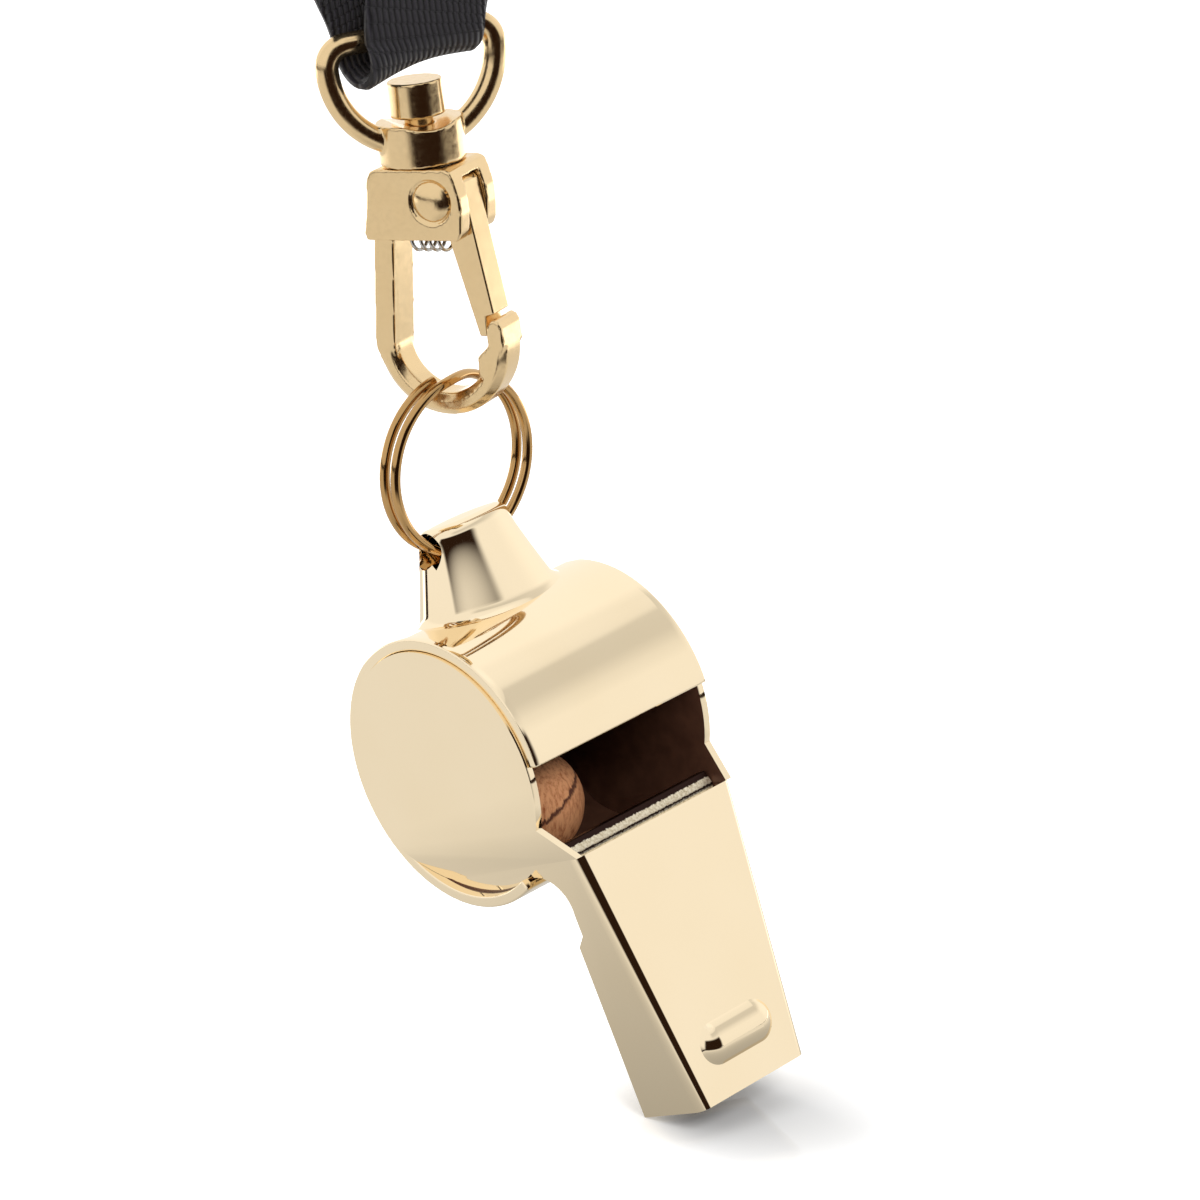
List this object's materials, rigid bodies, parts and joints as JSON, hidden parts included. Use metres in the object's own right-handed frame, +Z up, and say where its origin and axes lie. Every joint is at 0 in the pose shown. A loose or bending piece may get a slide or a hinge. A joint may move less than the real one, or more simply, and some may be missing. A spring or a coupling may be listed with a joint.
{
  "type": "sports whistle",
  "caption": "Metal pea whistle with a pressed mouthpiece and cork pea, hung by a split ring and swivel snap hook on a webbing loop.",
  "frame": {"origin": "inner top of the webbing loop, on its middle, where the loop hangs from a finger or peg", "axes": "+Z up along the hanging chain; the split ring lies in the YZ plane, and the barrel's axis leans a few degrees from +Y; +X towards the window side"},
  "size_m": [0.0367, 0.0255, 0.1053],
  "materials": {
    "gilt_brass": "polished, pale champagne gold plate",
    "sheared_brass": "matt sheared edge",
    "gilt_wire": "polished gold wire",
    "gilt_casting": "polished gold plated casting",
    "spring_steel": "bright wire",
    "cork": "matt natural cork",
    "webbing": "black woven tape with diagonal ribs"
  },
  "bodies": {
    "strap": {"webbing_loop": "webbing"},
    "swivel_eye": {"d_ring": "gilt_casting"},
    "hook": {"hook_frame": "gilt_casting", "gate_rivet": "gilt_casting", "gate_spring": "spring_steel", "swivel_post": "gilt_casting"},
    "gate": {"hook_gate": "gilt_casting"},
    "ring": {"split_ring": "gilt_wire"},
    "whistle": {"whistle_shell": "gilt_brass", "barrel_strip": "gilt_brass", "windway_floor": "sheared_brass", "underplate": "gilt_brass", "ring_lug": "gilt_brass"},
    "pea": {"cork_pea": "cork"}
  },
  "joints": [
    {"name": "d_ring_swing", "type": "hinge", "parent": "strap", "child": "swivel_eye", "pos_m": [0.00166, 0.00174, -0.02207], "axis": [0.3767, 0.9208, 0.1009], "range_deg": [-60, 60]},
    {"name": "hook_swivel", "type": "hinge", "parent": "swivel_eye", "child": "hook", "pos_m": [0.00239, 0.00251, -0.03181], "axis": [-0.0747, -0.0784, 0.9941], "continuous": true},
    {"name": "gate_open", "type": "hinge", "parent": "hook", "child": "gate", "pos_m": [0.00423, 0.00326, -0.03413], "axis": [-0.3215, 0.9456, 0.0504], "range_deg": [0, 22], "stiffness_Nm_per_rad": 0.012, "springref_deg": -20.05, "deforming": ["gate_spring"]},
    {"name": "ring_swing", "type": "hinge", "parent": "hook", "child": "ring", "pos_m": [0.00407, 0.00407, -0.0504], "axis": [1, 0, 0], "range_deg": [-35, 35]},
    {"name": "whistle_swing", "type": "hinge", "parent": "ring", "child": "whistle", "pos_m": [0.00407, 0.00492, -0.06135], "axis": [0, 0.99, 0.1409], "range_deg": [-75, 105]},
    {"name": "pea_orbit", "type": "hinge", "parent": "whistle", "child": "pea", "pos_m": [0.00914, 0.0071, -0.07669], "axis": [0, 0.99, 0.1409], "continuous": true}
  ]
}
